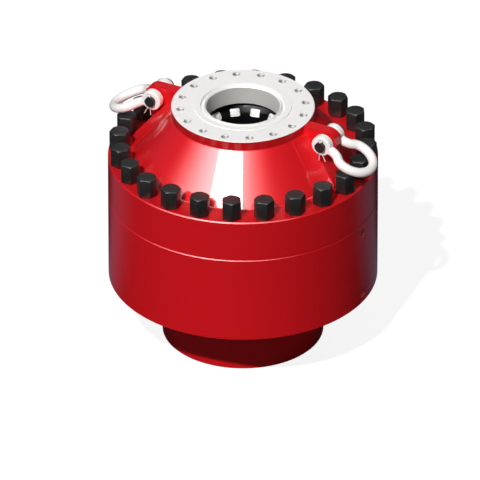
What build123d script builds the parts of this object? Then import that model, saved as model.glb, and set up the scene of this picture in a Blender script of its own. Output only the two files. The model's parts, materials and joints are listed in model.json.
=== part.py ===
from build123d import *
import os
from math import radians, sqrt, tan

# Annular blowout preventer, 13 5/8 in bore, 5000 psi class, bolted cover.
# Millimetres. +Z runs up the well bore and the origin is the centre of the bottom face.
# The lifting lugs stand on the X axis, and the hydraulic ports face +X.

# Housings
bore_r = 346.1 / 2            # through bore
body_r = 1270 / 2             # outside of both housings
neck_r = 762 / 2              # bottom neck
underside_z = 313             # underside of the body
joint_z = 747                 # joint between the lower housing and the cover
ledge_z = 953                 # bolting ledge of the cover
rim_z = 1169                  # underside of the top flange
flange_z = 1214               # plain face of the top flange
top_z = 1219                  # raised face
flange_r = 673.1 / 2
face_r = 457.2 / 2
dome_foot_r = 516             # where the cone meets the ledge
foot_fillet = 12
rim_fillet = 10

# Inner dome, which the packing element slides on
dome_r = 460
throat_z = top_z - 93         # lower end of the bore wall in the cover
dome_centre_z = throat_z - sqrt(dome_r**2 - bore_r**2)

# Operating chamber and its moving parts, shown with the preventer open
chamber_z = 420               # chamber floor
sleeve_r = 215                # outside of the inner sleeve
sleeve_z = 620
seat_z = 866                  # where the element sits on the piston
piston_wall_r = 410
piston_base_h = 70
adapter_h = 40
adapter_r = 480
mouth_r = 214                 # mouth of the packing element, under the throat
slide_gap = 0.3

# Cover bolts
bolt_count = 24
bolt_circle_r = 582
bolt_af = 84                  # across flats
bolt_head_h = 95
bolt_shank_r = 28
bolt_length = 286             # under the head
bolt_phase = 360 / bolt_count / 2
bolt_turn = 8                 # how far each head is turned from its radius

# Studded connections, top and bottom
stud_count = 16
stud_circle_r = 590.55 / 2
stud_hole_r = 38.1 / 2
stud_depth = 58
stud_phase = 360 / stud_count / 2
groove_r = 402.6 / 2          # outer edge of the ring groove
groove_width = 19.96
groove_depth = 14.3
groove_draft = 5.6            # how far each 23 degree flank leans in

# Hydraulic ports
port_r = 33.3 / 2
port_depth = 60
passage_r = 8
opening_port_z = 694
closing_port_z = 367

# Lifting lugs, and their 1 3/4 in round pin shackles
pin_x = 450
pin_z = 1155
lug_top_z = 1209
lug_half = 28
lug_front_x = 504
pad_h = 20                    # height of the lug's foot above the cone
pad_top_half = 30             # its half width under the flange, and where its flank ends
pad_top_reach = 112
pad_foot_half = 92            # the same at the foot of the cone
pad_foot_reach = 182
pin_r = 50.8 / 2
bar_r = 44.5 / 2
jaw_half = 73.2 / 2
bow_inside_w = 152
inside_length = 197
ear_r = 49
ear_t = 40
rest_tilt = 24.5                # how far the bow hangs below level

os.makedirs("parts", exist_ok=True)


def save(part, name):
    part.label = name
    export_step(part, f"parts/{name}.step")


# Cover: bolting ledge, cone and studded top flange over a spherical inner dome
joint_inner_r = sqrt(dome_r**2 - (joint_z - dome_centre_z)**2)
with BuildPart() as upper_housing:
    with BuildSketch(Plane.XZ) as cover_section:
        with BuildLine():
            Polyline(
                (joint_inner_r, joint_z), (body_r - 3, joint_z), (body_r, joint_z + 3),
                (body_r, ledge_z - 5), (body_r - 5, ledge_z), (dome_foot_r, ledge_z),
                (flange_r, rim_z), (flange_r, flange_z - 2), (flange_r - 2, flange_z),
                (face_r, flange_z), (face_r, top_z), (bore_r + 7, top_z), (bore_r, top_z - 7),
                (bore_r, throat_z),
            )
            RadiusArc((bore_r, throat_z), (joint_inner_r, joint_z), dome_r)
        make_face()
        fillet(cover_section.vertices().sort_by_distance((dome_foot_r, ledge_z))[0], foot_fillet)
        fillet(cover_section.vertices().sort_by_distance((flange_r, rim_z))[0], rim_fillet)
        with BuildLine():
            Polyline(
                (groove_r, top_z), (groove_r - groove_draft, top_z - groove_depth),
                (groove_r - groove_width + groove_draft, top_z - groove_depth),
                (groove_r - groove_width, top_z), close=True,
            )
        make_face(mode=Mode.SUBTRACT)
    revolve(axis=Axis.Z)
    with BuildSketch(Plane.XY.offset(flange_z)):
        with PolarLocations(stud_circle_r, stud_count, start_angle=stud_phase):
            Circle(stud_hole_r)
    extrude(amount=-stud_depth, mode=Mode.SUBTRACT)
    with BuildSketch(Plane.XY.offset(ledge_z)):
        with PolarLocations(bolt_circle_r, bolt_count, start_angle=bolt_phase):
            Circle(bolt_shank_r + 1.5)
    extrude(amount=joint_z - ledge_z, mode=Mode.SUBTRACT)
save(upper_housing.part, "upper_housing")

# Bottom neck, with a studded connection like the one on top
with BuildPart() as bottom_neck:
    with BuildSketch(Plane.XZ):
        with BuildLine():
            Polyline(
                (bore_r, 0), (neck_r - 4, 0), (neck_r, 4), (neck_r, underside_z),
                (bore_r, underside_z), close=True,
            )
        make_face()
        with BuildLine():
            Polyline(
                (groove_r, 0), (groove_r - groove_draft, groove_depth),
                (groove_r - groove_width + groove_draft, groove_depth),
                (groove_r - groove_width, 0), close=True,
            )
        make_face(mode=Mode.SUBTRACT)
    revolve(axis=Axis.Z)
    with BuildSketch(Plane.XY):
        with PolarLocations(stud_circle_r, stud_count, start_angle=stud_phase):
            Circle(stud_hole_r)
    extrude(amount=stud_depth, mode=Mode.SUBTRACT)
save(bottom_neck.part, "bottom_neck")

# Lower housing: floor, outer wall and the sleeve that guides the piston
with BuildPart() as lower_housing:
    with BuildSketch(Plane.XZ):
        with BuildLine():
            Polyline(
                (bore_r, underside_z), (body_r - 4, underside_z), (body_r, underside_z + 4),
                (body_r, joint_z - 3), (body_r - 3, joint_z), (adapter_r, joint_z),
                (adapter_r, joint_z - adapter_h), (dome_r, joint_z - adapter_h),
                (dome_r, chamber_z), (sleeve_r, chamber_z), (sleeve_r, sleeve_z),
                (bore_r + 8, sleeve_z), (bore_r, sleeve_z - 8), close=True,
            )
        make_face()
    revolve(axis=Axis.Z)
    with BuildSketch(Plane.XY.offset(joint_z)):
        with PolarLocations(bolt_circle_r, bolt_count, start_angle=bolt_phase):
            Circle(bolt_shank_r + 0.1)
    extrude(amount=-(bolt_length - (ledge_z - joint_z) + 6), mode=Mode.SUBTRACT)
    for port_z, inner_r in ((opening_port_z, dome_r - 5), (closing_port_z, dome_r - 25)):
        with BuildSketch(Plane.YZ.offset(body_r)):
            with Locations((0, port_z)):
                Circle(port_r)
        extrude(amount=-port_depth, mode=Mode.SUBTRACT)
        with BuildSketch(Plane.YZ.offset(inner_r)):
            with Locations((0, port_z)):
                Circle(passage_r)
        extrude(amount=body_r - dome_r, mode=Mode.SUBTRACT)
        with Locations(Location((body_r - 5, 0, port_z), (0, 90, 0))):
            Cone(port_r, port_r + 8, 8, align=(Align.CENTER, Align.CENTER, Align.MIN),
                 mode=Mode.SUBTRACT)
    with BuildSketch(Plane.XY.offset(closing_port_z)):
        with Locations((dome_r - 25, 0)):
            Circle(passage_r)
    extrude(amount=chamber_z - closing_port_z, mode=Mode.SUBTRACT)
save(lower_housing.part, "lower_housing")

# Piston, at the bottom of its stroke, cored from below
with BuildPart() as piston:
    with BuildSketch(Plane.XZ):
        with BuildLine():
            Polyline(
                (sleeve_r + slide_gap, chamber_z), (dome_r - slide_gap, chamber_z),
                (dome_r - slide_gap, chamber_z + piston_base_h),
                (piston_wall_r, chamber_z + piston_base_h), (piston_wall_r, seat_z),
                (sleeve_r + slide_gap, seat_z), close=True,
            )
        make_face()
        with BuildLine():
            Polyline(
                (268, chamber_z), (372, chamber_z), (352, seat_z - 70), (288, seat_z - 70),
                close=True,
            )
        make_face(mode=Mode.SUBTRACT)
    revolve(axis=Axis.Z)
save(piston.part, "piston")

# Adapter ring, clamped in the joint, which the piston wall slides through
with BuildPart() as adapter_ring:
    with BuildSketch(Plane.XZ):
        with BuildLine():
            Polyline(
                (piston_wall_r + slide_gap, joint_z - adapter_h), (adapter_r, joint_z - adapter_h),
                (adapter_r, joint_z), (piston_wall_r + slide_gap, joint_z), close=True,
            )
        make_face()
    revolve(axis=Axis.Z)
save(adapter_ring.part, "adapter_ring")

# Packing element: rubber, its outside on the inner dome and its mouth flared
element_r = dome_r - 0.5
mouth_z = dome_centre_z + sqrt(element_r**2 - mouth_r**2)
element_foot_r = sqrt(element_r**2 - (seat_z - dome_centre_z)**2)
with BuildPart() as packing_element:
    with BuildSketch(Plane.XZ):
        with BuildLine():
            Polyline(
                (mouth_r, mouth_z), (bore_r + 18, mouth_z - 27), (bore_r + 3, mouth_z - 60),
                (bore_r + 3, seat_z), (element_foot_r, seat_z),
            )
            RadiusArc((mouth_r, mouth_z), (element_foot_r, seat_z), element_r)
        make_face()
    revolve(axis=Axis.Z)
save(packing_element.part, "packing_element")

# Cover bolts: hexagon head, its top corners turned off at 30 degrees
head_top_z = ledge_z + bolt_head_h
with BuildPart() as bolt:
    with BuildSketch(Plane.XY.offset(ledge_z)):
        with Locations((bolt_circle_r, 0)):
            RegularPolygon(bolt_af / 2, 6, major_radius=False, rotation=bolt_turn)
    extrude(amount=bolt_head_h)
    with BuildSketch(Plane.XZ):
        with BuildLine():
            Polyline(
                (bolt_circle_r + bolt_af / 2 - 2, head_top_z), (bolt_circle_r + 60, head_top_z),
                (bolt_circle_r + 60, head_top_z - (62 - bolt_af / 2) * tan(radians(30))),
                close=True,
            )
        make_face()
    revolve(axis=Axis((bolt_circle_r, 0, 0), (0, 0, 1)), mode=Mode.SUBTRACT)
    with BuildSketch(Plane.XY.offset(ledge_z)):
        with Locations((bolt_circle_r, 0)):
            Circle(bolt_shank_r)
    extrude(amount=-bolt_length)
for i in range(bolt_count):
    turned = bolt.part.rotate(Axis.Z, bolt_phase + i * 360 / bolt_count)
    save(turned, f"cover_bolt_{i + 1:02d}")

# Lifting lug: a plate round the pin whose root flares on to the cone.
# It seats on the cone and the flange rim.
with BuildPart() as cover_outside:
    with BuildSketch(Plane.XZ) as outside_section:
        with BuildLine():
            Polyline(
                (0, 900), (body_r, 900), (body_r, ledge_z), (dome_foot_r, ledge_z),
                (flange_r, rim_z), (flange_r, top_z + 20), (0, top_z + 20), close=True,
            )
        make_face()
        fillet(outside_section.vertices().sort_by_distance((dome_foot_r, ledge_z))[0], foot_fillet)
        fillet(outside_section.vertices().sort_by_distance((flange_r, rim_z))[0], rim_fillet)
    revolve(axis=Axis.Z)

cone_length = sqrt((dome_foot_r - flange_r)**2 + (rim_z - ledge_z)**2)
up_cone = Vector(flange_r - dome_foot_r, 0, rim_z - ledge_z) / cone_length
off_cone = Vector(rim_z - ledge_z, 0, dome_foot_r - flange_r) / cone_length
ridge_foot = Vector(dome_foot_r, 0, ledge_z) + off_cone * pad_h
ridge_top = ridge_foot + up_cone * (0.42 * cone_length)
pad_start = ridge_top - up_cone * 26


def pad_section(distance, half, reach, surface_r):
    """Section of the lug's foot square to the cone: a flat top and two hollow flanks."""
    origin = Vector(dome_foot_r, 0, ledge_z) + up_cone * distance
    edge_h = 1 - reach**2 / (2 * surface_r)
    slope = reach / surface_r
    with BuildSketch(Plane(origin=origin, x_dir=(0, -1, 0), z_dir=up_cone)) as section:
        with BuildLine():
            TangentArc((reach, edge_h), (half, pad_h), tangent=(-1, slope))
            Line((half, pad_h), (-half, pad_h))
            TangentArc((-reach, edge_h), (-half, pad_h), tangent=(1, slope))
            Polyline((-reach, edge_h), (-reach, -90), (reach, -90), (reach, edge_h))
        make_face()
    return section.sketch


with BuildPart() as lug_side:
    with BuildSketch(Plane.XZ):
        with BuildLine():
            Line((300, 940), (300, lug_top_z))
            Line((300, lug_top_z), (pin_x - 6, lug_top_z))
            RadiusArc((pin_x - 6, lug_top_z), (lug_front_x - 4, pin_z + 27), 62)
            Polyline(
                (lug_front_x - 4, pin_z + 27), (lug_front_x, pin_z - 12),
                (ridge_top.X + 6, ridge_top.Z + 10),
            )
            Spline(
                (ridge_top.X + 6, ridge_top.Z + 10),
                (pad_start.X, pad_start.Z),
                tangents=((-0.45, -1), (-up_cone.X, -up_cone.Z)),
            )
            Polyline(
                (pad_start.X, pad_start.Z),
                (ridge_foot.X - 4, ridge_foot.Z + 5), (ridge_foot.X - 4, 940), (300, 940),
            )
        make_face()
    extrude(amount=220, both=True)
with BuildPart() as lug:
    loft([
        pad_section(-12, pad_foot_half, pad_foot_reach, 690),
        pad_section(cone_length + 20, pad_top_half, pad_top_reach, 440),
    ])
    split(bisect_by=Plane.XY.offset(rim_z), keep=Keep.BOTTOM)
    with Locations((300, 0, 940)):
        Box(300, 2 * lug_half, 400, align=(Align.MIN, Align.CENTER, Align.MIN))
    add(lug_side.part, mode=Mode.INTERSECT)
    add(cover_outside.part, mode=Mode.SUBTRACT)
    with BuildSketch(Plane.XZ):
        with Locations((pin_x, pin_z)):
            Circle(pin_r + 1)
    extrude(amount=100, both=True, mode=Mode.SUBTRACT)
save(lug.part, "lifting_lug_right")
save(mirror(lug.part, about=Plane.YZ), "lifting_lug_left")

# Shackle bow, drawn level with its pin at the origin and the bow along X
ear_y = jaw_half + ear_t / 2
bow_r = bow_inside_w / 2 + bar_r
bow_x = pin_r + inside_length + bar_r - bow_r
leg_x = 54
bend_x, bend_y = (leg_x + bow_x) / 2, (ear_y + bow_r) / 2
bend_r = ((bow_x - leg_x)**2 + (bow_r - ear_y)**2) / (4 * (bow_r - ear_y))
with BuildPart() as bow:
    with BuildLine(Plane.XY):
        Line((0, ear_y), (leg_x, ear_y))
        RadiusArc((leg_x, ear_y), (bend_x, bend_y), -bend_r)
        RadiusArc((bend_x, bend_y), (bow_x, bow_r), bend_r)
        ThreePointArc((bow_x, bow_r), (bow_x + bow_r, 0), (bow_x, -bow_r))
        RadiusArc((bow_x, -bow_r), (bend_x, -bend_y), bend_r)
        RadiusArc((bend_x, -bend_y), (leg_x, -ear_y), -bend_r)
        Line((leg_x, -ear_y), (0, -ear_y))
    with BuildSketch(Plane(origin=(0, ear_y, 0), z_dir=(1, 0, 0))):
        Circle(bar_r)
    sweep()
    for side in (1, -1):
        with BuildSketch(Plane.XZ.offset(-side * jaw_half)):
            Circle(ear_r + 6)
        extrude(amount=side * 12, mode=Mode.SUBTRACT)
        with BuildSketch(Plane.XZ.offset(-side * (jaw_half + ear_t))):
            Circle(ear_r + 6)
        extrude(amount=-side * 12, mode=Mode.SUBTRACT)
        with BuildSketch(Plane.XY) as ear_section:
            with Locations((ear_r / 2, side * ear_y)):
                Rectangle(ear_r, ear_t)
            fillet(ear_section.vertices().group_by(Axis.X)[-1], 7)
        revolve(axis=Axis.Y)
    with BuildSketch(Plane.XZ):
        Circle(pin_r + 0.5)
    extrude(amount=120, both=True, mode=Mode.SUBTRACT)

# Its pin: a head on the far side and a plain end for the cotter on the near side
pin_end_y = -(jaw_half + ear_t + 15)
pin_head_y = jaw_half + ear_t + 1
with BuildPart() as pin:
    with BuildSketch(Plane.XZ.offset(-pin_head_y)):
        Circle(pin_r)
    extrude(amount=pin_head_y - pin_end_y)
    with BuildSketch(Plane.XZ.offset(-pin_head_y)):
        Circle(pin_r + 10)
    extrude(amount=-18)
    with BuildSketch(Plane.XY):
        with Locations((0, pin_end_y + 7)):
            Circle(4.2)
    extrude(amount=40, both=True, mode=Mode.SUBTRACT)

# Split cotter through the pin end: an eye above, two spread legs below
cotter_y = pin_end_y + 7
with BuildPart() as cotter:
    for path in (
        [(-1.6, pin_r + 7), (-1.6, -pin_r - 5), (-4, -pin_r - 46)],
        [(1.6, pin_r + 7), (1.6, -pin_r - 5), (30, -pin_r - 44)],
    ):
        with BuildLine(Plane.XZ.offset(-cotter_y)) as leg:
            FilletPolyline(*path, radius=6)
        with BuildSketch(Plane(origin=leg.line @ 0, z_dir=leg.line % 0)):
            RegularPolygon(2, 8)
        sweep()
    with BuildSketch(Plane.XY.offset(pin_r + 13)):
        with Locations((7.5, cotter_y)):
            RegularPolygon(2.4, 8)
    revolve(axis=Axis((0, cotter_y, pin_r + 13), (0, 1, 0)))


def hang(part, tilt):
    """Puts a shackle piece on the right hand lug, its bow tilted down from level."""
    return part.rotate(Axis.Y, tilt).translate((pin_x, 0, pin_z))


for name, part, tilt in (
    ("shackle_bow", bow.part, rest_tilt),
    ("shackle_pin", pin.part, 0),
    ("cotter_pin", cotter.part, 0),
):
    save(hang(part, tilt), f"{name}_right")
    save(mirror(hang(part, tilt), about=Plane.YZ), f"{name}_left")
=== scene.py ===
"""Annular blowout preventer: finishes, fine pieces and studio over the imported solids."""

import json
import math

import bpy
from mathutils import Matrix, Vector

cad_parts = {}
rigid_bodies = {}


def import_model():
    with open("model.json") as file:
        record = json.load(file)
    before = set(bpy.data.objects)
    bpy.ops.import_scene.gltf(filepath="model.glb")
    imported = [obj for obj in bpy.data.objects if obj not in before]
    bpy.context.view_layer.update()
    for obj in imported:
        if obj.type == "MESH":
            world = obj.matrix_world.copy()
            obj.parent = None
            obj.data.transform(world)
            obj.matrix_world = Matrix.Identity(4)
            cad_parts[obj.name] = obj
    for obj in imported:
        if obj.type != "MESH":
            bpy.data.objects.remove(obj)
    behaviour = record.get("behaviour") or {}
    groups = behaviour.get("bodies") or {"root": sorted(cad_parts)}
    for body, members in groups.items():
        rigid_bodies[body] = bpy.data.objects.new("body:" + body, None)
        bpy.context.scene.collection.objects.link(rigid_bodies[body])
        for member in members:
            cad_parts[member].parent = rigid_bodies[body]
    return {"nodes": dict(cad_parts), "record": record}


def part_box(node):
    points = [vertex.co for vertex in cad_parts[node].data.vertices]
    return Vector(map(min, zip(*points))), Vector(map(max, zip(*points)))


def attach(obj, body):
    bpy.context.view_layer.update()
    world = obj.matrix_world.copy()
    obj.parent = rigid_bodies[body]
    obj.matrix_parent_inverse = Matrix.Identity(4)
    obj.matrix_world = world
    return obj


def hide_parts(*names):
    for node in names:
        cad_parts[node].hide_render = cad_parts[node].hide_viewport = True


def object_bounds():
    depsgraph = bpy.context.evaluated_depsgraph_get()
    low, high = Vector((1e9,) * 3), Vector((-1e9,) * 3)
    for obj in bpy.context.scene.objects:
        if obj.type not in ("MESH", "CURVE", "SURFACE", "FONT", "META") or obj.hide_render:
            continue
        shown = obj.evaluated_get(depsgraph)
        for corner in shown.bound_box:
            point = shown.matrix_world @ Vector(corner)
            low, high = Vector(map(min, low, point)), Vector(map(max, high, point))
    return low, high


bl_info = {
    "name": "Annular blowout preventer",
    "version": (1, 0, 0),
    "blender": (4, 5, 0),
    "location": "3D View > Sidebar > Preventer",
    "description": "Finishes and fine pieces for a bolted-cover annular preventer",
    "category": "Object",
}

for leftover in list(bpy.data.objects):
    bpy.data.objects.remove(leftover)
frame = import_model()
cad_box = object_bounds()

MM = 0.001
MOUNTS = {mount["name"]: mount for mount in frame["record"]["mounts"]}
TOP_STUDS = MOUNTS["top_studs"]
BOTTOM_STUDS = MOUNTS["bottom_studs"]
BORE_R = MOUNTS["top_bore"]["dims"]["r_mm"] * MM
COVER_LOW, COVER_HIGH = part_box("upper_housing")
BOLT_NODES = sorted(name for name in frame["nodes"] if name.startswith("cover_bolt_"))
BOLT_LOW, BOLT_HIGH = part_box(BOLT_NODES[0])
ELEMENT_LOW, ELEMENT_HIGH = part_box("packing_element")
BOLT_HEAD = 95 * MM
LEDGE_Z = BOLT_HIGH.z - BOLT_HEAD
MOUTH_R = 214 * MM
SIDE_GAP = 3 * MM  # from the bore wall to the rubber

# finishes, each named for what it is and how it was made
COVER_FINISH = "Gloss enamel cover, white primed face, bored steel"
NECK_FINISH = "Gloss enamel neck, white primed face, bored steel"
GLOSS_RED = "Gloss enamel red, sprayed"
SATIN_RED = "Satin enamel red, brushed"
GLOSS_WHITE = "Gloss enamel white, sprayed"
BLACK_STEEL = "Alloy steel, phosphated and oiled"
RUBBER = "Nitrile rubber, compression moulded"
TURNED_STEEL = "Low alloy steel, turned"
ZINC_WIRE = "Steel wire, zinc plated"
NICKEL_STEEL = "Alloy steel, nickel plated"

# typical values of the finishes: gloss enamel over a dull base, and plain steel
ENAMEL_IOR = 1.5
BASE_GLOSS = 0.2
BASE_ROUGHNESS = 0.36
SKIN_ROUGHNESS = 0.025
FLAKE = 0.12  # the red holds a little metallic flake
BORED_METALLIC = 0.25
BORED_ROUGHNESS = 0.32
PRIMER_ROUGHNESS = 0.5

# depth of a thread as a share of its pitch: on a bolt, in a tapped hole and in a pipe port
THREAD_DEPTH = 0.6134
HOLE_THREAD_DEPTH = 0.54
PORT_THREAD_DEPTH = 0.6

# the sphere of the inner dome, through the foot and the mouth of the packing element
DOME_Z = (MOUTH_R**2 + ELEMENT_HIGH.z**2 - ELEMENT_HIGH.x**2 - ELEMENT_LOW.z**2) / (
    2 * (ELEMENT_HIGH.z - ELEMENT_LOW.z)
)
DOME_R = math.hypot(ELEMENT_HIGH.x, ELEMENT_LOW.z - DOME_Z)


# --- Properties -----------------------------------------------------------------------


def length(name, description, default):
    return bpy.props.FloatProperty(
        name=name, description=description, default=default, min=0, unit="LENGTH"
    )


def colour(name, description, default):
    return bpy.props.StringProperty(
        name=name, description=description + ", as an sRGB hex value", default=default
    )


def angle(name, description, degrees):
    return bpy.props.FloatProperty(
        name=name, description=description, default=math.radians(degrees), subtype="ANGLE"
    )


class PreventerSizes(bpy.types.PropertyGroup):
    """Sizes of the fine pieces."""

    bolt_across_flats: length("Bolt head", "Across the flats of a cover bolt", 84 * MM)
    bolt_head: length("Bolt head height", "Ledge to the top of a cover bolt", BOLT_HEAD)
    bolt_shank: length("Bolt shank", "Diameter of a cover bolt", 56 * MM)
    bolt_turn: angle("Bolt turn", "How far each head is turned from its radius", 8)
    bolt_edge: length("Bolt edge", "Rounding along a bolt's edges", 1.1 * MM)
    bolt_pitch: length("Bolt thread", "Pitch of the cover bolts' 8UN thread", 3.175 * MM)
    stud_pitch: length("Stud thread", "Pitch of the stud holes' 8UN thread", 3.175 * MM)
    stud_thread: length("Thread length", "Tapped length of a stud hole", 50 * MM)
    port_pitch: length("Port thread", "Pitch of the hydraulic ports' pipe thread", 2.209 * MM)
    port_thread: length("Port thread length", "Tapped length of a port", 34 * MM)
    cotter_wire: length("Cotter wire", "Thickness of one leg of a cotter", 3.8 * MM)
    toe_width: length("Toe width", "Across an insert toe", 47 * MM)
    toe_height: length("Toe height", "Up an insert toe", 38 * MM)
    toe_count: bpy.props.IntProperty(
        name="Insert toes", description="Steel segments in the rubber", default=12, min=3
    )
    toe_phase: angle("Toe phase", "Turn of the first insert toe from +X", 9.8)


class PreventerFinishes(bpy.types.PropertyGroup):
    """Colours of the finishes."""

    red: colour("Body red", "Enamel on the castings", "#D2101A")
    white: colour("Flange white", "Primer on the flange faces", "#E4E2E0")
    shackle: colour("Shackle white", "Enamel on the shackle bows", "#F6F3F0")
    black: colour("Bolt black", "Coating on bolts and pins", "#191A1A")
    rubber: colour("Rubber", "Packing element", "#0B0B0C")
    thread: colour("Threads", "Tapped holes and running parts", "#A3A19E")
    steel: colour("Machined steel", "Bore, piston and rings", "#DCDAD6")
    zinc: colour("Zinc plate", "Cotter pins", "#F0F0EE")


class PreventerStage(bpy.types.PropertyGroup):
    """Camera and lights."""

    camera_azimuth: angle("Camera azimuth", "From -Y towards +X", 27.8)
    camera_elevation: angle("Camera elevation", "Above the horizon", 31.1)
    camera_distance: length("Camera distance", "To the aim point", 60)
    view_width: length("View width", "Width of the view at the aim point", 2.2637)
    aim_height: length("Aim height", "Height of the aim point", 479 * MM)
    aim_side: bpy.props.FloatProperty(
        name="Aim side", description="Aim point to the right of the bore", default=-0.0141,
        unit="LENGTH",
    )
    sun_swing: angle("Sun swing", "Sun to the left of the camera", 22)
    sun_elevation: angle("Sun elevation", "Above the horizon", 48)
    sun_strength: bpy.props.FloatProperty(name="Sun", description="Irradiance", default=3.5)
    fill_strength: bpy.props.FloatProperty(
        name="Fill", description="Irradiance from behind", default=1.3
    )
    box_swing: angle("Softbox swing", "Softbox to the left of the camera", 21)
    box_elevation: angle("Softbox elevation", "Above the horizon", 47.5)
    glow_swing: angle("Glow swing", "Lit wall to the left of the camera", 35)
    box_radiance: bpy.props.FloatProperty(
        name="Softbox", description="Radiance seen in the gloss", default=26
    )
    sky: bpy.props.FloatProperty(
        name="Sky", description="Even light from all round", default=0.16
    )


# --- Small tools ----------------------------------------------------------------------


def linear(text):
    """An sRGB hex value as linear RGBA."""
    parts = [int(text[i : i + 2], 16) / 255 for i in (1, 3, 5)]
    return tuple(
        c / 12.92 if c <= 0.04045 else ((c + 0.055) / 1.055) ** 2.4 for c in parts
    ) + (1.0,)


def add(tree, kind, values=None, links=None, **settings):
    """Adds a node with its settings, its sockets' values and the outputs linked to it."""
    made = tree.nodes.new(kind)
    for key, value in settings.items():
        setattr(made, key, value)
    for socket, value in (values or {}).items():
        made.inputs[socket].default_value = value
    for socket, output in (links or {}).items():
        tree.links.new(output, made.inputs[socket])
    return made


def surface(name, shader_values, build=None):
    """A material with one principled shader; build adds the nodes of its pattern."""
    made = bpy.data.materials.new(name)
    made.use_nodes = True
    tree = made.node_tree
    shader = tree.nodes["Principled BSDF"]
    for socket, value in shader_values.items():
        shader.inputs[socket].default_value = value
    if build:
        build(tree, shader)
    return made


def select_only(*things):
    for thing in bpy.context.view_layer.objects:
        thing.select_set(thing in things)
    bpy.context.view_layer.objects.active = things[0]


def settle(piece, name, material, body, smooth=35):
    """Applies the transform, mends the mesh, shades it and puts it on its body."""
    select_only(piece)
    bpy.ops.object.transform_apply(location=True, rotation=True, scale=True)
    bpy.ops.object.mode_set(mode="EDIT")
    bpy.ops.mesh.select_all(action="SELECT")
    bpy.ops.mesh.remove_doubles(threshold=1e-6)
    bpy.ops.mesh.normals_make_consistent(inside=False)
    bpy.ops.object.mode_set(mode="OBJECT")
    bpy.ops.object.shade_smooth_by_angle(angle=math.radians(smooth))
    piece.name = piece.data.name = name
    piece.data.materials.clear()
    piece.data.materials.append(material)
    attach(piece, body)
    return piece


def copy_of(piece, matrix, name, body, *stands_for):
    """A copy with its own mesh, moved in its mesh."""
    made = piece.copy()
    made.data = piece.data.copy()
    made.name = made.data.name = name
    bpy.context.scene.collection.objects.link(made)
    made.parent = None
    made.matrix_world = Matrix.Identity(4)
    made.data.transform(matrix)
    if matrix.determinant() < 0:
        made.data.flip_normals()
    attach(made, body)
    if stands_for:
        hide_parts(*stands_for)
    return made


def near(point, radius, height, slack=1e-5):
    """Whether a vertex lies on the loop of this radius and height."""
    return abs(point.xy.length - radius) < slack and abs(point.z - height) < slack


def turned(profile, steps, ring=True):
    """A piece turned about Z, each (radius, height) of the profile one loop of it.

    A ring joins its last loop to its first; a plug has both ends capped.
    """
    first_r, first_z = profile[0]
    bpy.ops.object.select_all(action="DESELECT")
    bpy.ops.mesh.primitive_circle_add(
        vertices=steps, radius=first_r, fill_type="NOTHING", location=(0, 0, first_z)
    )
    piece = bpy.context.active_object
    bpy.ops.object.transform_apply(location=True, rotation=True, scale=True)
    bpy.ops.object.mode_set(mode="EDIT")
    bpy.ops.mesh.select_all(action="SELECT")
    for (r0, z0), (r1, z1) in zip(profile, profile[1:]):
        bpy.ops.mesh.extrude_region_move(TRANSFORM_OT_translate={"value": (0, 0, z1 - z0)})
        bpy.ops.transform.resize(value=(r1 / r0, r1 / r0, 1), center_override=(0, 0, z1))
    if ring:
        bpy.ops.mesh.select_all(action="DESELECT")
        bpy.ops.object.mode_set(mode="OBJECT")
        for vertex in piece.data.vertices:
            vertex.select = near(vertex.co, *profile[0]) or near(vertex.co, *profile[-1])
        bpy.ops.object.mode_set(mode="EDIT")
        bpy.ops.mesh.select_mode(type="VERT")
        bpy.ops.mesh.bridge_edge_loops()
    else:
        bpy.ops.mesh.select_all(action="SELECT")
        bpy.ops.mesh.fill_holes(sides=0)
    bpy.ops.mesh.select_all(action="SELECT")
    bpy.ops.mesh.normals_make_consistent(inside=False)
    bpy.ops.object.mode_set(mode="OBJECT")
    return piece


def thread_ridge(radius, depth, pitch, run, steps=20):
    """One turned ridge of a thread along Z from 0 down to -run; depth is inward if positive."""
    bpy.ops.object.select_all(action="DESELECT")
    bpy.ops.mesh.primitive_circle_add(
        vertices=3, radius=pitch * 0.5, fill_type="NOTHING", location=(0, 0, 0)
    )
    piece = bpy.context.active_object
    root = radius + math.copysign(0.15 * MM, depth)
    corners = [(root, 0.46 * pitch), (root, -0.46 * pitch), (radius - depth, 0)]
    for vertex, (r, z) in zip(piece.data.vertices, corners):
        vertex.co = (r, 0, z)
    screw = piece.modifiers.new("Thread", "SCREW")
    screw.axis = "Z"
    screw.screw_offset = -pitch
    screw.iterations = max(1, round(run / pitch))
    screw.steps = screw.render_steps = steps
    screw.use_normal_calculate = True
    screw.use_merge_vertices = False
    bpy.ops.object.modifier_apply(modifier=screw.name)
    bpy.ops.object.mode_set(mode="EDIT")
    bpy.ops.mesh.select_all(action="SELECT")
    bpy.ops.mesh.fill_holes(sides=3)
    bpy.ops.object.mode_set(mode="OBJECT")
    return piece


# --- Finishes -------------------------------------------------------------------------


def radius_and_height(tree):
    """Object-space distance from the bore axis, and height."""
    place = add(tree, "ShaderNodeTexCoord")
    split = add(tree, "ShaderNodeSeparateXYZ", links={0: place.outputs["Object"]})
    flat = add(
        tree, "ShaderNodeCombineXYZ", links={0: split.outputs["X"], 1: split.outputs["Y"]}
    )
    distance = add(
        tree, "ShaderNodeVectorMath", links={0: flat.outputs[0]}, operation="LENGTH"
    )
    return place.outputs["Object"], distance.outputs["Value"], split.outputs["Z"]


def compare(tree, output, operation, value):
    made = add(tree, "ShaderNodeMath", {1: value}, {0: output}, operation=operation)
    return made.outputs[0]


def join(tree, operation, a, b):
    return add(tree, "ShaderNodeMath", links={0: a, 1: b}, operation=operation).outputs[0]


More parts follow.
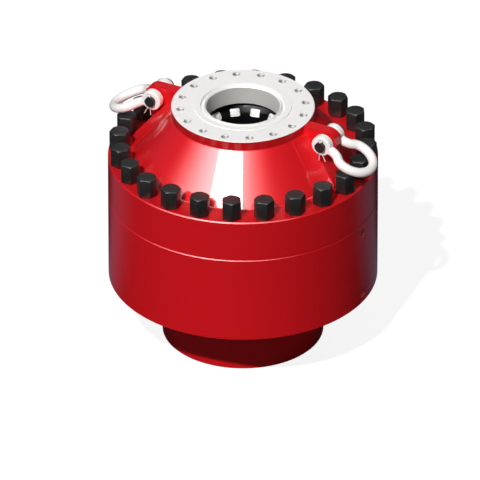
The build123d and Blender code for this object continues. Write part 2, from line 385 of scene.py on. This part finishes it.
def mix(tree, factor, a, b, kind="RGBA"):
    """Mix of two colours or numbers; a and b are values or outputs."""
    made = add(tree, "ShaderNodeMix", data_type=kind)
    slots = {"RGBA": (6, 7, 2), "FLOAT": (2, 3, 0)}[kind]
    tree.links.new(factor, made.inputs[0])
    for slot, thing in zip(slots, (a, b)):
        if isinstance(thing, bpy.types.NodeSocket):
            tree.links.new(thing, made.inputs[slot])
        else:
            made.inputs[slot].default_value = thing
    return made.outputs[slots[2]]


def tool_lines(tree, place):
    """Lines left by turning, 0.25 mm apart and drawn at 3 mm so that they show."""
    lines = add(tree, "ShaderNodeMapping", {"Scale": (3, 3, 330)}, {"Vector": place})
    return add(
        tree, "ShaderNodeTexNoise", {"Scale": 1.0, "Detail": 2.0}, {"Vector": lines.outputs[0]}
    ).outputs["Fac"]


def enamel_coat(tree, place, red):
    """Colour and relief of sprayed enamel: a slow drift of tone and a fine orange peel."""
    drift = add(
        tree, "ShaderNodeTexNoise", {"Scale": 2.2, "Detail": 2.0, "Roughness": 0.4},
        {"Vector": place},
    )
    darker = tuple(0.93 * c for c in red[:3]) + (1.0,)
    tone = mix(tree, drift.outputs["Fac"], darker, red)
    # orange peel has cells of about 3 mm, drawn at 6 mm so that the gloss shows it
    peel = add(
        tree, "ShaderNodeTexNoise", {"Scale": 1 / 0.006, "Detail": 1.0}, {"Vector": place}
    )
    relief = add(
        tree, "ShaderNodeBump", {"Strength": 0.03, "Distance": 0.0002},
        {"Height": peel.outputs["Fac"]},
    )
    return tone, relief.outputs["Normal"]


def enamel(name, text, metallic, coat=1.0):
    """Two-pack gloss enamel, sprayed: a deep colour under a clear, wet-looking skin."""

    def build(tree, shader):
        place = add(tree, "ShaderNodeTexCoord").outputs["Object"]
        tone, relief = enamel_coat(tree, place, linear(text))
        tree.links.new(tone, shader.inputs["Base Color"])
        tree.links.new(relief, shader.inputs["Normal"])

    values = {
        "Metallic": metallic, "Roughness": BASE_ROUGHNESS, "IOR": ENAMEL_IOR,
        "Specular IOR Level": BASE_GLOSS, "Coat Weight": coat,
        "Coat Roughness": SKIN_ROUGHNESS,
    }
    return surface(name, values, build)


def casting_finish(name, tone, face_z, outward, hollow):
    """Enamelled casting: its flange face is primed white, its bore and hollow are bored steel.

    face_z is the height of the flange face and outward its side, 1 or -1. hollow is the
    height and radius of the sphere that holds the machined inside.
    """

    def build(tree, shader):
        place, distance, height = radius_and_height(tree)
        red, relief = enamel_coat(tree, place, linear(tone.red))
        depth = add(
            tree, "ShaderNodeMath", {1: -outward, 2: face_z * outward}, {0: height},
            operation="MULTIPLY_ADD",
        ).outputs[0]
        # the cover's face is relieved outside its raised ring, so more of it is primed
        primed = 2.2 * MM if outward > 0 else 0.5 * MM
        hole_depth, flange_r = 80 * MM, 330 * MM
        on_face = compare(tree, depth, "LESS_THAN", primed)
        near_face = compare(tree, depth, "LESS_THAN", hole_depth)
        within = compare(tree, distance, "LESS_THAN", flange_r)
        faced = join(tree, "MAXIMUM", on_face, join(tree, "MULTIPLY", near_face, within))
        to_centre = add(
            tree, "ShaderNodeVectorMath", {1: (0, 0, hollow[0])}, {0: place},
            operation="DISTANCE",
        )
        inside = compare(tree, to_centre.outputs["Value"], "LESS_THAN", hollow[1])
        bored = join(
            tree, "MAXIMUM", inside, compare(tree, distance, "LESS_THAN", BORE_R + 1 * MM)
        )
        # the bolting ledge is masked off before the clear coat
        level = compare(tree, height, "LESS_THAN", LEDGE_Z + 1 * MM)
        ledge = join(
            tree, "MULTIPLY", level, compare(tree, height, "GREATER_THAN", LEDGE_Z - 1 * MM)
        )
        coated = mix(tree, ledge, 1.0, 0.1, "FLOAT")
        # painted shade: the red is darkened on the ledge and round the flange rim, to hold back
        # the light the bright cone throws onto them
        on_rim = compare(tree, height, "GREATER_THAN", COVER_HIGH.z - 45 * MM)
        painted_shade_mask = join(tree, "MAXIMUM", ledge, on_rim)
        shaded_red = tuple(0.78 * c for c in linear(tone.red)[:3]) + (1.0,)
        red = mix(tree, painted_shade_mask, red, shaded_red)
        painted = mix(tree, faced, red, linear(tone.white))
        dull = tuple(0.8 * c for c in linear(tone.steel)[:3]) + (1.0,)
        metal = mix(tree, tool_lines(tree, place), dull, linear(tone.steel))
        tree.links.new(mix(tree, bored, painted, metal), shader.inputs["Base Color"])
        metallic = mix(tree, faced, FLAKE, 0.0, "FLOAT")
        tree.links.new(
            mix(tree, bored, metallic, BORED_METALLIC, "FLOAT"), shader.inputs["Metallic"]
        )
        matt = mix(tree, faced, BASE_ROUGHNESS, PRIMER_ROUGHNESS, "FLOAT")
        tree.links.new(
            mix(tree, bored, matt, BORED_ROUGHNESS, "FLOAT"), shader.inputs["Roughness"]
        )
        gloss = mix(tree, faced, coated, 0.15, "FLOAT")
        tree.links.new(mix(tree, bored, gloss, 0.0, "FLOAT"), shader.inputs["Coat Weight"])
        tree.links.new(relief, shader.inputs["Normal"])

    values = {
        "IOR": ENAMEL_IOR, "Specular IOR Level": BASE_GLOSS, "Coat Roughness": SKIN_ROUGHNESS
    }
    return surface(name, values, build)


def blackened_steel(name, text):
    """Alloy steel, phosphated and oiled: satin black with a faint blotchy grain."""

    def build(tree, shader):
        place = add(tree, "ShaderNodeTexCoord").outputs["Object"]
        # phosphate crystals are far too fine to show; the blotches they grow in are 12 mm
        grain = add(
            tree, "ShaderNodeTexNoise", {"Scale": 1 / 0.012, "Detail": 4.0}, {"Vector": place}
        )
        dark = tuple(0.82 * c for c in linear(text)[:3]) + (1.0,)
        tree.links.new(
            mix(tree, grain.outputs["Fac"], dark, linear(text)), shader.inputs["Base Color"]
        )
        tree.links.new(
            mix(tree, grain.outputs["Fac"], 0.34, 0.46, "FLOAT"), shader.inputs["Roughness"]
        )
        relief = add(
            tree, "ShaderNodeBump", {"Strength": 0.12, "Distance": 0.0002},
            {"Height": grain.outputs["Fac"]},
        )
        tree.links.new(relief.outputs[0], shader.inputs["Normal"])

    return surface(name, {"IOR": 1.5, "Specular IOR Level": 0.4}, build)


def moulded_rubber(name, text):
    """Nitrile rubber, compression moulded and oiled: near black, with soft flow marks."""

    def build(tree, shader):
        place = add(tree, "ShaderNodeTexCoord").outputs["Object"]
        # flow marks of the mould lie about 38 mm apart: 26 to the metre
        flow = add(
            tree, "ShaderNodeTexNoise", {"Scale": 26.0, "Detail": 2.0}, {"Vector": place}
        )
        pale = tuple(1.6 * c for c in linear(text)[:3]) + (1.0,)
        tree.links.new(
            mix(tree, flow.outputs["Fac"], linear(text), pale), shader.inputs["Base Color"]
        )
        relief = add(
            tree, "ShaderNodeBump", {"Strength": 0.15, "Distance": 0.0006},
            {"Height": flow.outputs["Fac"]},
        )
        tree.links.new(relief.outputs[0], shader.inputs["Normal"])

    return surface(name, {"Roughness": 0.1, "IOR": 1.52, "Specular IOR Level": 0.12}, build)


def machined_steel(name, text, rough, metallic):
    """Low alloy steel, turned or plated: a soft metallic sheen broken by fine tool lines."""

    def build(tree, shader):
        place = add(tree, "ShaderNodeTexCoord").outputs["Object"]
        turning = tool_lines(tree, place)
        dull = tuple(0.75 * c for c in linear(text)[:3]) + (1.0,)
        tree.links.new(
            mix(tree, turning, dull, linear(text)), shader.inputs["Base Color"]
        )
        tree.links.new(
            mix(tree, turning, rough - 0.05, rough + 0.08, "FLOAT"),
            shader.inputs["Roughness"],
        )

    return surface(name, {"Metallic": metallic}, build)


def material(name):
    return bpy.data.materials[name]


class PREVENTER_OT_finishes(bpy.types.Operator):
    """Make the finishes and put them on the solids that keep their shape."""

    bl_idname = "preventer.finishes"
    bl_label = "Finishes"

    def execute(self, context):
        tone = context.scene.preventer_finishes
        casting_finish(
            COVER_FINISH, tone, TOP_STUDS["pos_m"][2], 1, (DOME_Z, DOME_R + 2 * MM)
        )
        # the lower sphere holds the operating chamber and stays inside the outer wall
        chamber_r = 570 * MM
        casting_finish(
            NECK_FINISH, tone, BOTTOM_STUDS["pos_m"][2], -1, (COVER_LOW.z, chamber_r)
        )
        enamel(GLOSS_RED, tone.red, metallic=FLAKE)
        enamel(SATIN_RED, tone.red, metallic=FLAKE, coat=0.35)
        enamel(GLOSS_WHITE, tone.shackle, metallic=0.0)
        blackened_steel(BLACK_STEEL, tone.black)
        moulded_rubber(RUBBER, tone.rubber)
        machined_steel(TURNED_STEEL, tone.thread, rough=0.34, metallic=0.35)
        machined_steel(ZINC_WIRE, tone.zinc, rough=0.4, metallic=0.15)
        machined_steel(NICKEL_STEEL, tone.zinc, rough=0.3, metallic=0.2)
        finish_of = {
            "upper_housing": COVER_FINISH,
            "lower_housing": NECK_FINISH,
            "bottom_neck": NECK_FINISH,
            "lifting_lug": SATIN_RED,
            "piston": TURNED_STEEL,
            "adapter_ring": TURNED_STEEL,
            "packing_element": RUBBER,
            "cover_bolt": BLACK_STEEL,
            "shackle_bow": GLOSS_WHITE,
            "shackle_pin": BLACK_STEEL,
            "cotter_pin": ZINC_WIRE,
        }
        for name, node in frame["nodes"].items():
            finish = next(f for start, f in finish_of.items() if name.startswith(start))
            for slot in node.material_slots:
                slot.material = material(finish)
        return {"FINISHED"}


# --- Cover bolts ----------------------------------------------------------------------


class PREVENTER_OT_cover_bolts(bpy.types.Operator):
    """Hexagon head bolts with turned chamfers, washer faces and threaded shanks."""

    bl_idname = "preventer.cover_bolts"
    bl_label = "Cover bolts"

    def execute(self, context):
        size = context.scene.preventer_sizes
        flats, head = size.bolt_across_flats, size.bolt_head
        ledge = BOLT_HIGH.z - head
        corner = flats / math.sqrt(3)
        shank_r = size.bolt_shank / 2
        # hexagon block
        bpy.ops.object.select_all(action="DESELECT")
        bpy.ops.mesh.primitive_cylinder_add(
            vertices=6, radius=corner, depth=head, location=(0, 0, ledge + head / 2),
            rotation=(0, 0, math.radians(30) + size.bolt_turn),
        )
        bolt = bpy.context.active_object
        # turned blank that the hexagon is cut back to: chamfer above, washer face below
        washer_r, washer_h, chamfer_out = 0.96 * flats / 2, 1.5 * MM, corner + 1 * MM
        crown_r = flats / 2 - 2 * MM
        chamfer_h = (chamfer_out - crown_r) * math.tan(math.radians(30))
        blank = turned(
            [
                (washer_r, ledge), (washer_r, ledge + washer_h),
                (chamfer_out, ledge + washer_h + 1 * MM),
                (chamfer_out, ledge + head - chamfer_h), (crown_r, ledge + head),
            ],
            steps=72,
            ring=False,
        )
        cut = bolt.modifiers.new("Blank", "BOOLEAN")
        cut.operation, cut.object, cut.solver = "INTERSECT", blank, "EXACT"
        select_only(bolt)
        bpy.ops.object.modifier_apply(modifier=cut.name)
        bpy.data.objects.remove(blank)
        worn = bolt.modifiers.new("Worn edges", "BEVEL")
        worn.width, worn.segments = size.bolt_edge, 2
        worn.limit_method, worn.angle_limit = "ANGLE", math.radians(22)
        bpy.ops.object.modifier_apply(modifier=worn.name)
        # shank: plain body, thread from below the joint, chamfered end
        end = BOLT_LOW.z
        thread_from = COVER_LOW.z - 4 * MM
        root_r = shank_r - THREAD_DEPTH * size.bolt_pitch
        shank = turned(
            [
                (shank_r, ledge + 4 * MM), (shank_r, thread_from),
                (root_r, thread_from - 2 * MM), (root_r, end + 1 * MM), (root_r - 1 * MM, end),
            ],
            steps=40,
            ring=False,
        )
        run = thread_from - end - 8 * MM
        thread = thread_ridge(
            root_r, -THREAD_DEPTH * size.bolt_pitch, size.bolt_pitch, run, steps=24
        )
        thread.data.transform(Matrix.Translation((0, 0, thread_from - 3 * MM)))
        select_only(bolt, shank, thread)
        bpy.ops.object.join()
        black = material(BLACK_STEEL)
        settle(bolt, "cover_bolt_pattern", black, "preventer")
        for name in BOLT_NODES:
            low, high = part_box(name)
            centre = (low + high) / 2
            around = math.atan2(centre.y, centre.x)
            turn = Matrix.Rotation(around, 4, "Z")
            place = Matrix.Translation((centre.x, centre.y, 0)) @ turn
            made = copy_of(bolt, place, f"{name}_machined", "preventer", name)
        bpy.data.objects.remove(bolt)
        return {"FINISHED"}


# --- Threads --------------------------------------------------------------------------


class PREVENTER_OT_threads(bpy.types.Operator):
    """Threads of the stud holes, top and bottom, and of the hydraulic ports."""

    bl_idname = "preventer.threads"
    bl_label = "Threads"

    def execute(self, context):
        size = context.scene.preventer_sizes
        steel = material(TURNED_STEEL)
        hole_r = TOP_STUDS["dims"]["hole_r_mm"] * MM
        circle_r = TOP_STUDS["dims"]["pcd_mm"] * MM / 2
        count = TOP_STUDS["dims"]["count"]
        thread_lead, port_lead = 4.5 * MM, 4 * MM  # from the mouth to the first ridge
        ridge = thread_ridge(
            hole_r, HOLE_THREAD_DEPTH * size.stud_pitch, size.stud_pitch, size.stud_thread
        )
        settle(ridge, "stud_thread_pattern", steel, "preventer", 30)
        for end, face_z, down in (
            ("top", TOP_STUDS["pos_m"][2], 0), ("bottom", BOTTOM_STUDS["pos_m"][2], math.pi)
        ):
            for i in range(count):
                turn = Matrix.Rotation((i + 0.5) * math.tau / count, 4, "Z")
                start = Matrix.Translation((circle_r, 0, face_z))
                flip = Matrix.Rotation(down, 4, "X")
                lead = Matrix.Translation((0, 0, -thread_lead))
                copy_of(
                    ridge, turn @ start @ flip @ lead, f"stud_thread_{end}_{i + 1:02d}",
                    "preventer",
                )
        bpy.data.objects.remove(ridge)
        for name in ("opening_port", "closing_port"):
            mount = MOUNTS[name]
            radius = mount["dims"]["r_mm"] * MM
            ridge = thread_ridge(
                radius, PORT_THREAD_DEPTH * size.port_pitch, size.port_pitch, size.port_thread
            )
            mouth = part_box("lower_housing")[1].x - port_lead
            place = Matrix.Translation((mouth, 0, mount["pos_m"][2])) @ Matrix.Rotation(
                math.pi / 2, 4, "Y"
            )
            ridge.data.transform(place)
            settle(ridge, f"{name}_thread", steel, "preventer", 30)
        return {"FINISHED"}


# --- Packing element ------------------------------------------------------------------


class PREVENTER_OT_packing_element(bpy.types.Operator):
    """Moulded rubber ring with a flared mouth under the cover's throat."""

    bl_idname = "preventer.packing_element"
    bl_label = "Packing element"

    def execute(self, context):
        inner_r = BORE_R + SIDE_GAP
        low, high = ELEMENT_LOW.z, ELEMENT_HIGH.z
        start = math.asin((high - DOME_Z) / DOME_R)
        finish = math.asin((low - DOME_Z) / DOME_R)
        parts = 14
        arc = [start + (finish - start) * i / parts for i in range(parts + 1)]
        outside = [(DOME_R * math.cos(t), DOME_Z + DOME_R * math.sin(t)) for t in arc]
        # the mouth opens in a curve, each point so far out and so far below the top
        flare = ((0, 70), (1, 61), (4, 50), (9, 38), (16, 26), (27, 11))
        mouth = [(inner_r, low)]
        mouth += [(inner_r + out * MM, high - down * MM) for out, down in flare]
        mouth.append((MOUTH_R - 5 * MM, high - 3 * MM))
        ring = turned(mouth + outside, steps=144)
        rubber = material(RUBBER)
        settle(ring, "packing_element_moulded", rubber, "preventer", 40)
        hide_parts("packing_element")
        return {"FINISHED"}


# --- Insert toes ----------------------------------------------------------------------


class PREVENTER_OT_insert_toes(bpy.types.Operator):
    """Toes of the steel segments moulded into the rubber, flush in its flared mouth."""

    bl_idname = "preventer.insert_toes"
    bl_label = "Insert toes"

    def execute(self, context):
        size = context.scene.preventer_sizes
        thick, corner_r = 7 * MM, 8 * MM
        bpy.ops.object.select_all(action="DESELECT")
        bpy.ops.mesh.primitive_cube_add(size=1, scale=(thick, size.toe_width, size.toe_height))
        toe = bpy.context.active_object
        bpy.ops.object.transform_apply(location=True, rotation=True, scale=True)
        bpy.ops.object.mode_set(mode="EDIT")
        bpy.ops.mesh.select_all(action="DESELECT")
        bpy.ops.object.mode_set(mode="OBJECT")
        # the four edges through the thickness, for the rounded corners
        for edge in toe.data.edges:
            a, b = (toe.data.vertices[i].co for i in edge.vertices)
            edge.select = abs(a.x - b.x) > thick / 2
        bpy.ops.object.mode_set(mode="EDIT")
        bpy.ops.mesh.select_mode(type="EDGE")
        bpy.ops.mesh.bevel(offset=corner_r, segments=5, affect="EDGES")
        bpy.ops.object.mode_set(mode="OBJECT")
        round_off = toe.modifiers.new("Rounded rim", "BEVEL")
        round_off.width, round_off.segments, round_off.limit_method = 1 * MM, 2, "ANGLE"
        select_only(toe)
        bpy.ops.object.modifier_apply(modifier=round_off.name)
        # the mouth opens 22 mm over a height of 42 mm where the toes lie
        lean = math.atan2(22, 42)
        place = Matrix.Translation(
            (BORE_R + 13 * MM, 0, ELEMENT_HIGH.z - 36 * MM)
        ) @ Matrix.Rotation(lean, 4, "Y")
        toe.data.transform(place)
        steel = material(NICKEL_STEEL)
        settle(toe, "insert_toe_pattern", steel, "preventer", 40)
        for i in range(size.toe_count):
            turn = Matrix.Rotation(size.toe_phase + i * math.tau / size.toe_count, 4, "Z")
            copy_of(toe, turn, f"insert_toe_{i + 1:02d}", "preventer")
        bpy.data.objects.remove(toe)
        return {"FINISHED"}


# --- Cotter pins ----------------------------------------------------------------------


class PREVENTER_OT_cotters(bpy.types.Operator):
    """Split cotters of round wire: an eye above the pin and two spread legs below."""

    bl_idname = "preventer.cotters"
    bl_label = "Cotter pins"

    def execute(self, context):
        size = context.scene.preventer_sizes
        wire = size.cotter_wire / 2
        zinc = material(ZINC_WIRE)
        low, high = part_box("cotter_pin_right")
        pin_low, pin_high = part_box("shackle_pin_right")
        middle_x = (pin_low.x + pin_high.x) / 2
        middle_y = (low.y + high.y) / 2
        knee = 4 * MM
        tip = high.x - wire
        eye_r = 7.5 * MM
        eye_z = high.z - wire - eye_r
        neck_z = eye_z - 10 * MM
        knee_z = pin_low.z + 6 * MM
        route = [
            (middle_x - 4 * MM, low.z + wire), (middle_x - 0.85 * wire, knee_z),
            (middle_x - 0.85 * wire, neck_z), (middle_x - 1.2 * MM, eye_z - 8 * MM),
            (middle_x - 2 * MM, eye_z - 4 * MM), (middle_x - 1 * MM, eye_z + 3 * MM),
            (middle_x + 4 * MM, eye_z + eye_r), (middle_x + 11 * MM, eye_z + 6 * MM),
            (middle_x + 14.5 * MM, eye_z), (middle_x + 11 * MM, eye_z - 6 * MM),
            (middle_x + 5 * MM, eye_z - 8 * MM), (middle_x + 1.2 * MM, eye_z - 11 * MM),
            (middle_x + 0.85 * wire, neck_z - 4 * MM), (middle_x + 0.85 * wire, knee_z),
            (middle_x + 3 * knee, knee_z - 8 * MM), (tip, low.z + 3 * MM),
        ]
        curve = bpy.data.curves.new("cotter_route", "CURVE")
        curve.dimensions = "3D"
        line = curve.splines.new("BEZIER")
        line.bezier_points.add(len(route) - 1)
        for point, (x, z) in zip(line.bezier_points, route):
            point.co = (x, middle_y, z)
            point.handle_left_type = point.handle_right_type = "AUTO"
        curve.bevel_depth, curve.bevel_resolution = wire, 3
        curve.resolution_u, curve.use_fill_caps = 6, True
        pin = bpy.data.objects.new("cotter", curve)
        context.scene.collection.objects.link(pin)
        select_only(pin)
        bpy.ops.object.convert(target="MESH")
        pin = bpy.context.active_object
        settle(pin, "cotter_pin_right_wire", zinc, "shackle_right", 50)
        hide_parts("cotter_pin_right")
        other = copy_of(
            pin, Matrix.Scale(-1, 4, (1, 0, 0)), "cotter_pin_left_wire", "shackle_left",
            "cotter_pin_left",
        )
        return {"FINISHED"}


# --- Studio ---------------------------------------------------------------------------


FLOOR_SIZE = 80.0
FLOOR_GREY = (0.16, 0.16, 0.16, 1)
FLOOR_GLOW = 0.88  # with the grey in full light, just white

TENT_R = 30.0
TENT_DARK = (0.006, 0.006, 0.008, 1)
TENT_RIM = (0.105, 0.085, 0.125, 1)
# a band of light between two elevations, given as the sine the shader compares
BAND_RISE = [math.sin(math.radians(degrees)) for degrees in (50, 57)]
BAND_FALL = [math.sin(math.radians(degrees)) for degrees in (69, 64)]
BAND_RADIANCE = 2.4
GLOW_RADIANCE = 12.0
GLOW_FADE = 3.5

SUN_ANGLE = math.radians(1.5)
FILL_ELEVATION = math.radians(12)
FILL_ANGLE = math.radians(30)
BOX_DISTANCE, BOX_WIDE, BOX_HIGH = 12.0, 6.0, 2.2


def direction(azimuth, elevation):
    """Unit vector from the object; azimuth turns from -Y towards +X."""
    flat = math.cos(elevation)
    return Vector(
        (math.sin(azimuth) * flat, -math.cos(azimuth) * flat, math.sin(elevation))
    )


def lamp(name, kind, place, aim, **settings):
    data = bpy.data.lights.new(name, kind)
    for key, value in settings.items():
        setattr(data, key, value)
    made = bpy.data.objects.new(name, data)
    bpy.context.scene.collection.objects.link(made)
    made.location = place
    made.rotation_euler = (aim - place).to_track_quat("-Z", "Y").to_euler()
    return made


def seen_directly(tree):
    """1 for rays from the camera, from gloss and through glass, 0 for the light's own rays."""
    path = add(tree, "ShaderNodeLightPath")
    either = add(
        tree, "ShaderNodeMath", operation="MAXIMUM",
        links={0: path.outputs["Is Camera Ray"], 1: path.outputs["Is Glossy Ray"]},
    )
    return add(
        tree, "ShaderNodeMath", operation="MAXIMUM",
        links={0: either.outputs[0], 1: path.outputs["Is Transmission Ray"]},
    ).outputs[0]


class PREVENTER_OT_studio(bpy.types.Operator):
    """Pale floor, grey tent for the reflections, lamps and the camera."""

    bl_idname = "preventer.studio"
    bl_label = "Studio"

    def execute(self, context):
        stage = context.scene.preventer_stage
        scene = context.scene
        azimuth = stage.camera_azimuth
        back = direction(azimuth, stage.camera_elevation)
        across = Vector((math.cos(azimuth), math.sin(azimuth), 0))
        aim = across * stage.aim_side + Vector((0, 0, stage.aim_height))
        data = bpy.data.cameras.new("Camera")
        data.lens = data.sensor_width * stage.camera_distance / stage.view_width
        data.clip_end = 4 * stage.camera_distance
        camera = bpy.data.objects.new("Camera", data)
        scene.collection.objects.link(camera)
        camera.location = aim + back * stage.camera_distance
        camera.rotation_mode = "QUATERNION"
        camera.rotation_quaternion = (-back).to_track_quat("-Z", "Y")
        scene.camera = camera
        scene.view_settings.view_transform = "Standard"

        # world: plain white where it is seen, a soft even sky as light
        world = bpy.data.worlds.new("Studio")
        world.use_nodes = True
        tree = world.node_tree
        tree.nodes.clear()
        strength = mix(tree, seen_directly(tree), stage.sky, 1.0, "FLOAT")
        sky = add(
            tree, "ShaderNodeBackground", {"Color": (1, 1, 1, 1)}, {"Strength": strength}
        )
        add(tree, "ShaderNodeOutputWorld", links={"Surface": sky.outputs[0]})
        scene.world = world

        # floor: pale, its brightness topped up where it is seen, so the shadow stays faint
        bpy.ops.object.select_all(action="DESELECT")
        bpy.ops.mesh.primitive_plane_add(size=FLOOR_SIZE)
        floor = bpy.context.active_object
        floor.name = "studio_floor"
        paper = bpy.data.materials.new("Backdrop paper, white")
        paper.use_nodes = True
        tree = paper.node_tree
        tree.nodes.clear()
        diffuse = add(tree, "ShaderNodeBsdfDiffuse", {"Color": FLOOR_GREY})
        topped = mix(tree, seen_directly(tree), 0.0, FLOOR_GLOW, "FLOAT")
        glow = add(tree, "ShaderNodeEmission", links={"Strength": topped})
        both = add(
            tree, "ShaderNodeAddShader", links={0: diffuse.outputs[0], 1: glow.outputs[0]}
        )
        add(tree, "ShaderNodeOutputMaterial", links={"Surface": both.outputs[0]})
        floor.data.materials.append(paper)

        # tent: a grey shell that only gloss sees, dark below, bright overhead
        bpy.ops.object.select_all(action="DESELECT")
        bpy.ops.mesh.primitive_uv_sphere_add(segments=64, ring_count=32, radius=TENT_R)
        tent = bpy.context.active_object
        tent.name = "studio_tent"
        bpy.ops.object.mode_set(mode="EDIT")
        bpy.ops.mesh.select_all(action="SELECT")
        bpy.ops.mesh.bisect(
            plane_co=(0, 0, 0.5 * MM), plane_no=(0, 0, 1), clear_inner=True, use_fill=True
        )
        bpy.ops.object.mode_set(mode="OBJECT")
        felt = bpy.data.materials.new("Tent felt, grey")
        felt.use_nodes = True
        tree = felt.node_tree
        tree.nodes.clear()
        place = add(tree, "ShaderNodeTexCoord").outputs["Object"]
        unit = add(
            tree, "ShaderNodeVectorMath", links={0: place}, operation="NORMALIZE"
        ).outputs[0]
        split = add(tree, "ShaderNodeSeparateXYZ", links={0: unit})
        # a ring of light high up, for the thin highlights along the edges
        band = add(
            tree, "ShaderNodeMapRange",
            {"From Min": BAND_RISE[0], "From Max": BAND_RISE[1], "To Min": 0.0, "To Max": 1.0},
            {"Value": split.outputs["Z"]}, interpolation_type="SMOOTHSTEP",
        )
        band_top = add(
            tree, "ShaderNodeMapRange",
            {"From Min": BAND_FALL[0], "From Max": BAND_FALL[1], "To Min": 0.0,
             "To Max": BAND_RADIANCE},
            {"Value": split.outputs["Z"]}, interpolation_type="SMOOTHSTEP",
        )
        ceiling = join(tree, "MULTIPLY", band.outputs[0], band_top.outputs[0])
        # the wall beside the softbox is lit too and fades out over 60 degrees
        toward_box = direction(azimuth - stage.box_swing, stage.box_elevation)
        toward_glow = direction(azimuth - stage.glow_swing, stage.box_elevation)
        round_box = add(
            tree, "ShaderNodeVectorMath", {1: tuple(toward_glow)}, {0: unit},
            operation="DOT_PRODUCT",
        )
        nearness = add(
            tree, "ShaderNodeMapRange",
            {"From Min": 0.5, "From Max": 1.0, "To Min": 0.0, "To Max": 1.0},
            {"Value": round_box.outputs["Value"]},
        )
        fade = add(
            tree, "ShaderNodeMath", {1: GLOW_FADE}, {0: nearness.outputs[0]},
            operation="POWER",
        )
        raised = add(
            tree, "ShaderNodeMapRange",
            {"From Min": 0.1, "From Max": 0.4, "To Min": 0.0, "To Max": GLOW_RADIANCE},
            {"Value": split.outputs["Z"]}, interpolation_type="SMOOTHSTEP",
        )
        glow = join(tree, "MULTIPLY", fade.outputs[0], raised.outputs[0])
        lit = join(tree, "ADD", glow, ceiling)
        # behind the object, on both sides, the shell turns a cool grey
        facing = add(
            tree, "ShaderNodeVectorMath", {1: tuple(direction(azimuth, 0))}, {0: unit},
            operation="DOT_PRODUCT",
        )
        behind = add(
            tree, "ShaderNodeMapRange",
            {"From Min": 0.1, "From Max": -0.4, "To Min": 0.0, "To Max": 1.0},
            {"Value": facing.outputs["Value"]}, interpolation_type="SMOOTHSTEP",
        )
        centred = add(
            tree, "ShaderNodeMapRange",
            {"From Min": -0.78, "From Max": -0.5, "To Min": 0.0, "To Max": 1.0},
            {"Value": facing.outputs["Value"]}, interpolation_type="SMOOTHSTEP",
        )
        rim = add(
            tree, "ShaderNodeMath", operation="MULTIPLY",
            links={0: behind.outputs[0], 1: centred.outputs[0]},
        )
        grey = mix(tree, rim.outputs[0], TENT_DARK, TENT_RIM)
        shell = add(tree, "ShaderNodeEmission", {"Strength": 1.0}, {"Color": grey})
        light = add(tree, "ShaderNodeEmission", links={"Strength": lit})
        total = add(
            tree, "ShaderNodeAddShader", links={0: shell.outputs[0], 1: light.outputs[0]}
        )
        add(tree, "ShaderNodeOutputMaterial", links={"Surface": total.outputs[0]})
        tent.data.materials.append(felt)
        tent.visible_camera = tent.visible_diffuse = tent.visible_shadow = False
        tent.visible_transmission = tent.visible_volume_scatter = False

        # sun for form and shadows, softbox for the tall highlight on the cone
        middle = Vector((0, 0, cad_box[1].z))
        toward_sun = direction(azimuth - stage.sun_swing, stage.sun_elevation)
        lamp(
            "Sun", "SUN", toward_sun * 10, Vector(), energy=stage.sun_strength,
            angle=SUN_ANGLE,
        )
        # a wide fill from behind lights the far side and leaves the gloss alone
        toward_fill = direction(azimuth + math.pi, FILL_ELEVATION)
        fill = lamp(
            "Fill", "SUN", toward_fill * 10, Vector(), energy=stage.fill_strength,
            angle=FILL_ANGLE,
        )
        fill.visible_glossy = False
        box = lamp(
            "Softbox", "AREA", middle + toward_box * BOX_DISTANCE, middle,
            shape="RECTANGLE", size=BOX_WIDE, size_y=BOX_HIGH,
            energy=stage.box_radiance * math.pi * BOX_WIDE * BOX_HIGH,
        )
        box.visible_diffuse = False
        return {"FINISHED"}


# --- Panel and registration -----------------------------------------------------------

STEPS = (
    PREVENTER_OT_finishes,
    PREVENTER_OT_cover_bolts,
    PREVENTER_OT_threads,
    PREVENTER_OT_packing_element,
    PREVENTER_OT_insert_toes,
    PREVENTER_OT_cotters,
    PREVENTER_OT_studio,
)


class PREVENTER_PT_panel(bpy.types.Panel):
    """Lists the steps and the values they read."""

    bl_label = "Preventer"
    bl_idname = "PREVENTER_PT_panel"
    bl_space_type = "VIEW_3D"
    bl_region_type = "UI"
    bl_category = "Preventer"

    def draw(self, context):
        for group in ("preventer_sizes", "preventer_finishes", "preventer_stage"):
            values = getattr(context.scene, group)
            column = self.layout.column()
            for key in values.bl_rna.properties.keys():
                if key not in ("rna_type", "name"):
                    column.prop(values, key)
        for step in STEPS:
            self.layout.operator(step.bl_idname)


CLASSES = (PreventerSizes, PreventerFinishes, PreventerStage, *STEPS, PREVENTER_PT_panel)


def register():
    for made in CLASSES:
        bpy.utils.register_class(made)
    bpy.types.Scene.preventer_sizes = bpy.props.PointerProperty(type=PreventerSizes)
    bpy.types.Scene.preventer_finishes = bpy.props.PointerProperty(type=PreventerFinishes)
    bpy.types.Scene.preventer_stage = bpy.props.PointerProperty(type=PreventerStage)


def unregister():
    del bpy.types.Scene.preventer_stage
    del bpy.types.Scene.preventer_finishes
    del bpy.types.Scene.preventer_sizes
    for made in reversed(CLASSES):
        bpy.utils.unregister_class(made)


def main():
    register()
    bpy.ops.preventer.finishes()
    bpy.ops.preventer.cover_bolts()
    bpy.ops.preventer.threads()
    bpy.ops.preventer.packing_element()
    bpy.ops.preventer.insert_toes()
    bpy.ops.preventer.cotters()
    bpy.ops.preventer.studio()


if __name__ == "__main__":
    main()
